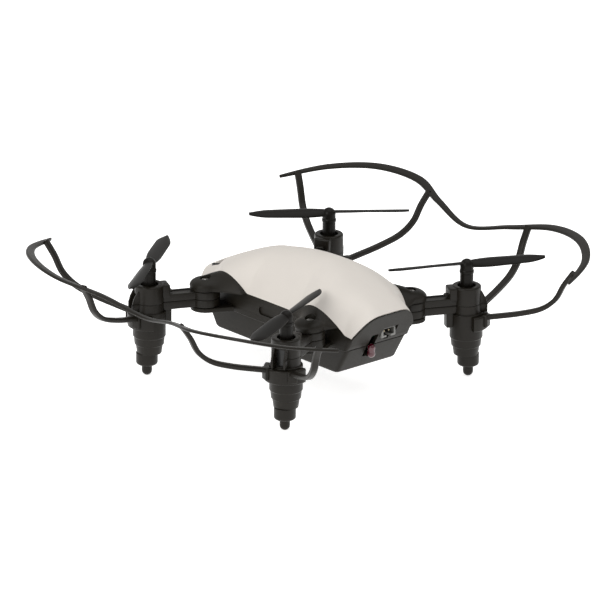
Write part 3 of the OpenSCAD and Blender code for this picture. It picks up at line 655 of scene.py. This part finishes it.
def build_lower_shell():
    """The tub with its ledge, the four lower hinge lugs and their posts."""
    outside = [(BELLY_Z, tub_half, 0.9), (BELLY_Z + 0.12, tub_half, 0.5), (BELLY_Z + 0.35, tub_half, 0.2),
               (BELLY_Z + 0.8, tub_half, 0), (LEDGE_Z, tub_half, 0), (LEDGE_Z + 0.05, band_half, 0.3),
               (LEDGE_Z + 0.35, band_half, 0), (SPLIT_Z - 0.15, band_half, 0),
               (SPLIT_Z - SEAM_GAP, band_half, SEAM_INSET),
               (SPLIT_Z - SEAM_GAP, band_half, WALL), (LEDGE_Z + WALL, band_half, WALL),
               (LEDGE_Z + WALL, tub_half, WALL), (BELLY_Z + WALL, tub_half, WALL)]
    rings = [body_outline(flat(z), half, inset) for z, half, inset in outside]
    shell = make_mesh("lower_shell", *loft(rings))
    lug_outline = [(KNUCKLE_R * math.cos(t), KNUCKLE_R * math.sin(t)) for t in
                   [math.radians(-90 + 7.5 * k) for k in range(25)]] + [(-7.2, KNUCKLE_R), (-7.2, -KNUCKLE_R)]
    lug = prism(lug_outline, LUG_Z, SPLIT_Z - SEAM_GAP, 0.15, in_arm())
    post = rod("post", POST_R, LUG_Z + 0.2, CAP_BOTTOM_Z, in_arm(), 48)
    boolean(lug, [post], "UNION")
    hole = rod("hole", SCREW_HOLE_R, LUG_Z - 1.2, CAP_BOTTOM_Z + 0.7, in_arm(), 24)
    boolean(lug, [hole], "DIFFERENCE")
    room = prism([(-30, -30), (30, -30), (30, BODY_HALF - 0.6), (-30, BODY_HALF - 0.6)], 10, 34, 0)
    boolean(lug, [room], "DIFFERENCE")
    lugs = [mirrored(lug, sx, sy) for sx, sy in QUARTERS.values()]
    bpy.data.objects.remove(lug)
    boolean(shell, lugs, "UNION")
    key = block((28, SOCKET_Y - 0.8, SPLIT_Z - 0.9), (34, SOCKET_Y + 0.8, SPLIT_Z + 1), 0)
    return boolean(shell, [slot_tool(), key], "DIFFERENCE")


MARK_X, MARK_Z = 3.4, 19.95
MARK_SECTION = [(0.42, 0.05), (0.42, -0.03), (0.66, -0.03), (0.66, 0.05)]


def build_side_mark():
    """The small printed ring on the left side, beside the finger recess."""
    rings = []
    for k in range(24):
        a = 2 * math.pi * k / 24
        c, s = math.cos(a), math.sin(a)
        y = -(band_half(MARK_X) + 0.02)
        rings.append([(MARK_X + r * c, y + dy, MARK_Z + r * s) for r, dy in MARK_SECTION])
    return make_mesh("side_mark", *loft(rings, closed=True))


def build_screws():
    profile = rounded([(0, SCREW_SEAT_Z, 0), (SCREW_HEAD_R, SCREW_SEAT_Z, 0.1),
                       (SCREW_HEAD_R, SCREW_SEAT_Z + 0.55, 0.35), (0, SCREW_SEAT_Z + 0.95, 0)], 5)
    head = make_mesh("screw", *lathe(profile, 40), in_arm())
    cuts = [block((-0.75, -0.16, SCREW_SEAT_Z + 0.4), (0.75, 0.16, SCREW_SEAT_Z + 2), 0.04, 2,
                  in_arm() @ turned(a)) for a in (20, 110)]
    boolean(head, cuts, "DIFFERENCE")
    shank = rod("shank", SCREW_HOLE_R - 0.02, LUG_Z + 1, SCREW_SEAT_Z + 0.1, in_arm(), 24)
    boolean(head, [shank], "UNION")
    screws = [mirrored(head, sx, sy) for sx, sy in QUARTERS.values()]
    bpy.data.objects.remove(head)
    return join("hinge_screws", screws)


def build_socket():
    sx, sy, sz = SOCKET_SIZE
    x1 = SOCKET_FACE_X
    shell = block((x1 - sx, SOCKET_Y - sy / 2, SOCKET_BASE_Z),
                  (x1, SOCKET_Y + sy / 2, SOCKET_BASE_Z + sz), 0.15)
    room = block((x1 - sx + 4.5, SOCKET_Y - sy / 2 + 0.7, SOCKET_BASE_Z + 0.6),
                 (x1 + 2, SOCKET_Y + sy / 2 - 0.7, SOCKET_BASE_Z + sz - 0.55), 0.15)
    key = block((x1 - 3, SOCKET_Y - 0.8, SOCKET_BASE_Z - 1), (x1 + 2, SOCKET_Y + 0.8, SOCKET_BASE_Z + 1), 0)
    boolean(shell, [room, key], "DIFFERENCE")
    for face in shell.data.polygons:
        inside_x = (x1 - sx + 4.4) * MM < face.center.x < (x1 - 0.4) * MM
        inside_y = abs(face.center.y - SOCKET_Y * MM) < (sy / 2 - 0.65) * MM
        inside_z = (SOCKET_BASE_Z + 0.5) * MM < face.center.z < (SOCKET_BASE_Z + sz - 0.4) * MM
        face.material_index = 1 if inside_x and inside_y and inside_z else 0
    return shell


def build_pins():
    pins = []
    for s in SIDES:
        y = SOCKET_Y + s * 0.9
        outline = rounded([(SOCKET_FACE_X - 6.5, y - 0.25, 0.05), (SOCKET_FACE_X - 0.8, y - 0.25, 0.2),
                           (SOCKET_FACE_X - 0.8, y + 0.25, 0.2), (SOCKET_FACE_X - 6.5, y + 0.25, 0.05)], 4,
                          closed=True)
        pins.append(prism(outline, SOCKET_BASE_Z + 1.3, SOCKET_BASE_Z + 1.8, 0.1))
    return join("socket_pins", pins)


def build_knob():
    """The slider: a red capsule-shaped pad with a dished middle, on its stem, which is coloured charcoal as
    painted shade beside the pad.
    """
    r, z0, length = KNOB_R, KNOB_BOTTOM_Z, KNOB_HEIGHT - 2 * KNOB_R
    quarter_turn = [math.pi / 2 * k / 12 for k in range(1, 13)]
    profile = [(0, z0)] + [(r * math.sin(a), z0 + r - r * math.cos(a)) for a in quarter_turn]
    profile += [(r - 0.12 * math.sin(math.pi * k / 10), z0 + r + length * k / 10) for k in range(1, 10)]
    profile += [(r * math.sin(a), z0 + r + length + r * math.cos(a)) for a in reversed(quarter_turn)]
    profile.append((0, z0 + KNOB_HEIGHT))
    pad = make_mesh("pad", *lathe(profile, 48), Matrix.Translation((KNOB_FACE_X - r, SWITCH_Y, 0)))
    stem = block((23.4, SWITCH_Y - 0.45, z0 + 0.1), (KNOB_FACE_X - r, SWITCH_Y + 0.45, z0 + 0.9), 0.05)
    knob = boolean(pad, [stem], "UNION")
    for face in knob.data.polygons:
        # Faces behind the pad take charcoal as painted shade beside the pad.
        face.material_index = 1 if face.center.x < (KNOB_FACE_X - 2 * r - 0.02) * MM else 0
    return knob


# ---------- arms ----------

FIN_Y, FIN_T = 1.9, 0.7


def knuckle(z0, z1):
    return make_mesh("knuckle", *lathe(rounded([(0, z0, 0), (KNUCKLE_R, z0, 0.25), (KNUCKLE_R, z1, 0.25),
                                                (0, z1, 0)], 4), 72), in_arm())


def beam(z0, z1):
    return block((0.5, -ARM_W / 2, z0), (ARM_LEN - MOTOR_R, ARM_W / 2, z1), 0.25, 3, in_arm())


def fins(shape):
    """Two upright fins on the outer side of the pod, either side of the motor window."""
    out = []
    for s in SIDES:
        place = in_pod((0, s * FIN_Y + FIN_T / 2, 0)) @ Matrix.Rotation(math.pi / 2, 4, "X")
        out.append(prism(rounded(shape, 5, closed=True), 0, FIN_T, 0.12, place))
    return out


def motor_window():
    return block((2, -1.3, ARM_Z), (8, 1.3, 24.6), 0.3, 3, in_pod())


def hinge_bore():
    return rod("bore", POST_R + HINGE_GAP, 15, 30, in_arm(), 48)


def build_arm_top():
    z0, dish_r = ARM_SPLIT_Z + 0.02, 2.6
    housing = make_mesh("housing", *lathe(rounded([
        (0, z0, 0), (HOUSING_R, z0, 0.12), (HOUSING_R, HOUSING_TOP_Z, 0.55), (dish_r, HOUSING_TOP_Z, 0.3),
        (dish_r, 25.0, 0.1), (0, 25.0, 0)], 6), 80), in_pod())
    bracket = block((-5.6, -2.4, 23.2), (-3.2, 2.4, 27.0), 0.45, 4, in_pod())
    web = block((-6.6, -1.0, 23.6), (-4.4, 1.0, 25.0), 0.3, 3, in_pod())
    shape = [(3.4, z0, 0), (5.5, z0, 0.05), (5.1, 23.4, 1.5), (3.9, 25.7, 0.3), (3.4, 25.7, 0)]
    boolean(housing, [knuckle(z0, ARM_TOP_Z), beam(z0, ARM_TOP_Z), bracket, web, *fins(shape)], "UNION")
    can = rod("can", MOTOR_R + MOTOR_GAP, 15, MOTOR_TOP_Z, in_pod())
    groove = block((3.6, -1.35, 23.85), (11, 1.35, 24.4), 0.1, 2, in_arm())
    return boolean(housing, [motor_window(), can, hinge_bore(), groove], "DIFFERENCE")


def build_arm_bottom():
    z1 = ARM_SPLIT_Z - 0.02
    barrel = make_mesh("barrel", *lathe(rounded([
        (0, FOOT_TOP_Z, 0), (3.5, FOOT_TOP_Z, 0.1), (3.85, 9.2, 0.3), (4.2, 9.45, 0.15),
        (4.4, 11.6, 0.3), (BARREL_R, 11.9, 0.2),
        (BARREL_R, 19.3, 0.25), (HOUSING_R, 19.3, 0.05), (HOUSING_R, z1, 0.12), (0, z1, 0)], 6), 80),
                       in_pod())
    tab_outline = [(-CLIP_R, -1.5, 0.35), (-3, -1.5, 0), (-3, 1.5, 0), (-CLIP_R, 1.5, 0.35)]
    tab = prism(rounded(tab_outline, 5, closed=True), 15.2, ARM_Z + 0.3, 0.3, in_pod())
    shape = [(3.4, 19.3, 0), (5.6, 19.4, 0.2), (5.6, z1, 0.05), (3.4, z1, 0)]
    boolean(barrel, [knuckle(ARM_Z, z1), beam(ARM_Z, z1), tab, *fins(shape)], "UNION")
    can = rod("can", MOTOR_R + MOTOR_GAP, PLUG_TOP_Z - 0.1, 30, in_pod())
    return boolean(barrel, [motor_window(), can, hinge_bore()], "DIFFERENCE")


def build_foot():
    profile = [(0, 0)]
    for k in range(1, 11):
        a = math.pi / 2 * k / 10
        profile.append((FOOT_PIN_R * math.sin(a), FOOT_PIN_R * (1 - math.cos(a))))
    profile += rounded([(FOOT_PIN_R, 1.6, 0), (FOOT_PIN_R, 3.25, 0.25), (FOOT_CAP_R, 3.25, 1.5),
                        (FOOT_CAP_R, FOOT_TOP_Z + 0.1, 0.1), (0, FOOT_TOP_Z + 0.1, 0)], 7)
    return make_mesh("foot", *lathe(profile, 64), in_pod((FOOT_SHIFT, 0, 0)))


# ---------- propellers ----------

def chord_share(u):
    if u < 0.35:
        return 0.62 + 0.38 * math.sin(math.pi / 2 * u / 0.35)
    return 1 if u < 0.75 else 1 - 0.72 * ((u - 0.75) / 0.25) ** 2


def blade_ring(r):
    u = r / PROP_R
    chord, thick = BLADE_CHORD * chord_share(u), 0.9 - 0.4 * u
    pitch = math.radians(26 - 15 * u)
    ring = []
    for k in range(28):
        a = 2 * math.pi * k / 28
        y = math.cos(a) * chord / 2
        z = math.sin(a) * thick / 2 + 0.35 * (1 - math.cos(a) ** 2)
        ring.append((r, y * math.cos(pitch) - z * math.sin(pitch),
                     BLADE_Z + y * math.sin(pitch) + z * math.cos(pitch)))
    return ring


def build_propeller(end):
    rest = BLADE_ANGLES[end]
    turn = rest - math.degrees(ARM_ANGLE) if end > 0 else 180 - rest - math.degrees(ARM_ANGLE)
    dome = HUB_TOP_Z - HUB_R
    profile = rounded([(0, HUB_BOTTOM_Z, 0), (HUB_R, HUB_BOTTOM_Z, 0.3), (HUB_R, 30.6, 0.1),
                       (HUB_R + 0.16, 30.9, 0.1), (HUB_R + 0.16, 31.5, 0.1),
                       (HUB_R, 31.8, 0.1), (HUB_R, dome, 0)], 4)
    for k in range(1, 14):
        a = math.pi / 2 * k / 14
        profile.append((HUB_R * math.cos(a), dome + HUB_R * math.sin(a)))
    profile += [(0.32, HUB_TOP_Z - 0.1), (0.28, HUB_TOP_Z - 0.6), (0, HUB_TOP_Z - 0.6)]
    hub = make_mesh("hub", *lathe(profile, 64), in_pod())
    stations = [1.0 + 22.0 * k / 36 for k in range(36)] + [22.7, 22.9, 23.0]
    blades = [make_mesh("blade", *loft([blade_ring(r) for r in stations]), in_pod() @ turned(turn + a))
              for a in (0, 180)]
    return boolean(hub, blades, "UNION")


# ---------- guards ----------

# Points of the rail round one motor: angle from +X, share of RAIL_R, height, share of RAIL_W
RAIL_POLAR = [(116, 0.975, 34, 0.75), (91, 1, 36.4, 1), (66, 1, 37.2, 1), (41, 1, 36, 0.85),
              (16, 1, 34, 0.55)]
WAIST = (0, 60.3, 31, 0.6)
# Middle line of a rib: distance from the motor axis, height
RIB_LINE = [(5.4, 18.2), (10, 19.3), (16.5, 21), (22.8, 23.3), (27, 26.7), (29.5, 31.3), (32.3, 35.4)]


def smooth_path(points, steps):
    """The smooth curve through all points, with the given steps between two of them."""
    last = len(points) - 1
    out = []
    for i in range(last):
        p0, p1, p2, p3 = (Vector(points[max(min(j, last), 0)]) for j in (i - 1, i, i + 1, i + 2))
        for k in range(steps):
            t = k / steps
            out.append(0.5 * (2 * p1 + (p2 - p0) * t + (2 * p0 - 5 * p1 + 4 * p2 - p3) * t * t
                              + (3 * p1 - p0 - 3 * p2 + p3) * t ** 3))
    return out + [Vector(points[last])]


def build_rail():
    half = []
    for angle, share, z, wide in RAIL_POLAR:
        a = math.radians(angle)
        half.append((POD_X + RAIL_R * share * math.cos(a), POD_Y + RAIL_R * share * math.sin(a), z, wide))
    points = [(-p[0], *p[1:]) for p in reversed(half)] + [WAIST] + half
    path = smooth_path(points, 18)
    rings = []
    last = len(path) - 1
    for i, here in enumerate(path):
        step = path[min(i + 1, last)] - path[max(i - 1, 0)]
        t = Vector(step[:3]).normalized()
        out = Vector((-t.y, t.x, 0)).normalized()
        tilt = math.radians(RAIL_TILT * (here[3] - 0.4))
        wide = math.cos(tilt) * out + math.sin(tilt) * Vector((0, 0, 1))
        deep = wide.cross(t)
        taper = min(1, 0.35 + 0.65 * math.sqrt(min(i, last - i) / 8))
        ring = []
        for k in range(20):
            a = 2 * math.pi * k / 20
            c, s = math.cos(a), math.sin(a)
            across = math.copysign(abs(c) ** 0.6, c) * RAIL_W * here[3] / 2 * taper
            through = math.copysign(abs(s) ** 0.6, s) * RAIL_T / 2
            ring.append(Vector(here[:3]) + wide * across + deep * through)
        rings.append([tuple(p) for p in ring])
    return make_mesh("rail", *loft(rings))


def build_rib(matrix):
    line = smooth_path(RIB_LINE, 10)
    last = len(line) - 1
    rings = []
    for i, here in enumerate(line):
        t = (line[min(i + 1, last)] - line[max(i - 1, 0)]).normalized()
        across = Vector((t.y, -t.x))
        section = rounded([(-RIB_W / 2, -RIB_T / 2, 0.4), (RIB_W / 2, -RIB_T / 2, 0.4),
                           (RIB_W / 2, RIB_T / 2, 0.4), (-RIB_W / 2, RIB_T / 2, 0.4)], 4, closed=True)
        rings.append([(here.x + across.x * b, a, here.y + across.y * b) for a, b in section])
    return make_mesh("rib", *loft(rings), matrix)


def build_clip(matrix):
    r0 = BARREL_R + CLIP_GAP
    section = rounded([(r0, CLIP_Z[0], 0.15), (CLIP_R, CLIP_Z[0], 0.45), (CLIP_R, CLIP_Z[1], 0.45),
                       (r0, CLIP_Z[1], 0.15)], 4, closed=True)
    rings = []
    for k in range(61):
        a = math.radians(-86 + 172 * k / 60)
        rings.append([(r * math.cos(a), r * math.sin(a), z) for r, z in section])
    return make_mesh("clip", *loft(rings), matrix)


def build_guard():
    rail = build_rail()
    parts = []
    for sx in (1, -1):
        flip = Matrix.Diagonal((sx, 1, 1, 1))
        parts.append(build_clip(flip @ in_pod()))
        for s in SIDES:
            place = flip @ in_pod() @ turned(s * RIB_ANGLE)
            parts.append(block((BARREL_R + CLIP_GAP + 0.2, -1.3, CLIP_Z[0] + 0.8),
                               (CLIP_R + 0.7, 1.3, CLIP_Z[1] + 0.25), 0.3, 3, place))
            parts.append(build_rib(place))
    return boolean(rail, parts, "UNION")


# ---------- assembly ----------

finish_piece(build_canopy(), "canopy_shell", "body", ["canopy"], [CANOPY_GREY], 50)
finish_piece(build_lenses(), "headlight_windows", "body", ["headlight_lenses"], [LENS_BLACK])
finish_piece(build_upper_frame(), "upper_body", "body", ["upper_frame"], [CHARCOAL_FRAME])
finish_piece(build_lower_shell(), "lower_body", "body", ["lower_shell"], [CHARCOAL_FRAME])
finish_piece(build_side_mark(), "side_mark", "body", [], [MARK_WHITE])
finish_piece(build_screws(), "cap_screws", "body", ["hinge_screws"], [BRIGHT_STEEL])
finish_piece(build_socket(), "socket_shell", "body", ["charging_socket"],
             [SOCKET_GREY, SOCKET_DARK])
finish_piece(build_pins(), "socket_contacts", "body", ["socket_pins"], [PIN_BRASS])
# The slider's second material, charcoal, is painted shade on its stem.
finish_piece(build_knob(), "slider_knob", "power_switch", ["switch_knob"],
             [KNOB_RED, CHARCOAL], 60)

arm_pieces = {"arm_top": build_arm_top(), "arm_bottom": build_arm_bottom(), "foot": build_foot()}
for quarter, (sx, sy) in QUARTERS.items():
    for node, piece in arm_pieces.items():
        finish_piece(mirrored(piece, sx, sy), f"{node}_shell_{quarter}", f"arm_{quarter}",
                     [f"{node}_{quarter}"], [CHARCOAL])
for piece in arm_pieces.values():
    bpy.data.objects.remove(piece)

for end in SIDES:
    propeller = build_propeller(end)
    for quarter, (sx, sy) in QUARTERS.items():
        if sx == end:
            finish_piece(mirrored(propeller, sx, sy), f"two_blade_{quarter}", f"prop_{quarter}",
                         [f"propeller_{quarter}"], [PROPELLER_BLACK])
    bpy.data.objects.remove(propeller)

guard = build_guard()
for side, sy in (("left", -1), ("right", 1)):
    finish_piece(mirrored(guard, 1, sy), f"guard_ring_{side}", f"guard_{side}_body", [f"guard_{side}"],
                 [CHARCOAL])
bpy.data.objects.remove(guard)

# CAD nodes whose shape is right keep it, and get their material
NODE_MATERIALS = {
    "headlight_leds": LED_CLEAR, "battery": BATTERY_FOIL, "battery_pad": FOAM_BLACK,
    "battery_leads": WIRE_COVER, "circuit_board": BOARD_GREEN, "board_chips": CHIP_BLACK,
    "board_screws": BRIGHT_STEEL, "switch_body": BRIGHT_STEEL, "antenna_wire": WIRE_COVER,
}
for quarter in QUARTERS:
    # The motors get the near-black steel, which is painted shade of their slot.
    NODE_MATERIALS[f"motor_{quarter}"] = MOTOR_STEEL_PAINTED_SHADE
    NODE_MATERIALS[f"motor_shaft_{quarter}"] = BRIGHT_STEEL
    NODE_MATERIALS[f"motor_leads_{quarter}"] = WIRE_COVER
for node, material in NODE_MATERIALS.items():
    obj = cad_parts[node]
    obj.data.materials.clear()
    obj.data.materials.append(material)


# ---------- floor, light and camera ----------

FLOOR_GLOW, FLOOR_HALF = 0.68, 3.0
SKY_STRENGTH, OVERHEAD_WATTS, KEY_WATTS = 0.62, 3.8, 4.8
LIGHT_TARGET = (0, 0, 0.02)


def build_stage():
    corners = [(x * FLOOR_HALF, y * FLOOR_HALF, 0) for x, y in ((-1, -1), (1, -1), (1, 1), (-1, 1))]
    floor = bpy.data.meshes.new("floor")
    floor.from_pydata(corners, [], [(0, 1, 2, 3)])
    obj = bpy.data.objects.new("floor", floor)
    bpy.context.scene.collection.objects.link(obj)
    white = surface("floor_white", (0.93, 0.93, 0.925), 0.9, spread=0.01, bump=0.0, grain=400, mottle=3,
                    specular=0.1)
    shader = white.node_tree.nodes["Principled BSDF"]
    shader.inputs["Emission Color"].default_value = (1, 1, 1, 1)
    shader.inputs["Emission Strength"].default_value = FLOOR_GLOW
    floor.materials.append(white)


def add_light(name, position, size, power, colour=(1, 1, 1)):
    light = bpy.data.lights.new(name, "AREA")
    light.shape = "SQUARE"
    light.size = size
    light.energy = power
    light.color = colour
    obj = bpy.data.objects.new(name, light)
    bpy.context.scene.collection.objects.link(obj)
    obj.location = position
    obj.rotation_euler = (Vector(LIGHT_TARGET) - Vector(position)).to_track_quat("-Z", "Y").to_euler()


def build_light():
    world = bpy.data.worlds.new("studio")
    bpy.context.scene.world = world
    world.use_nodes = True
    background = world.node_tree.nodes["Background"]
    background.inputs["Color"].default_value = (1.0, 0.995, 0.985, 1)
    background.inputs["Strength"].default_value = SKY_STRENGTH
    add_light("overhead", (0.1, 0.1, 0.9), 1.0, OVERHEAD_WATTS)
    add_light("key", (0.1, -1.05, 0.55), 0.6, KEY_WATTS, (1, 0.985, 0.965))


CAMERA_AZIMUTH, CAMERA_ELEVATION, CAMERA_ROLL = math.radians(48.7), math.radians(19.4), math.radians(0.3)
CAMERA_DISTANCE, CAMERA_LENS = 2.5, 532
LOOK_AT = Vector((-2.5, -0.75, 21.9)) * MM


def build_camera():
    back = Vector((math.sin(CAMERA_AZIMUTH) * math.cos(CAMERA_ELEVATION),
                   -math.cos(CAMERA_AZIMUTH) * math.cos(CAMERA_ELEVATION), math.sin(CAMERA_ELEVATION)))
    camera = bpy.data.cameras.new("camera")
    camera.lens = CAMERA_LENS
    camera.sensor_width = 36
    camera.clip_end = 20
    obj = bpy.data.objects.new("camera", camera)
    bpy.context.scene.collection.objects.link(obj)
    obj.matrix_world = (Matrix.Translation(LOOK_AT + back * CAMERA_DISTANCE)
                        @ back.to_track_quat("Z", "Y").to_matrix().to_4x4()
                        @ Matrix.Rotation(CAMERA_ROLL, 4, "Z"))
    bpy.context.scene.camera = obj


build_stage()
build_light()
build_camera()
bpy.context.scene.view_settings.view_transform = "Standard"
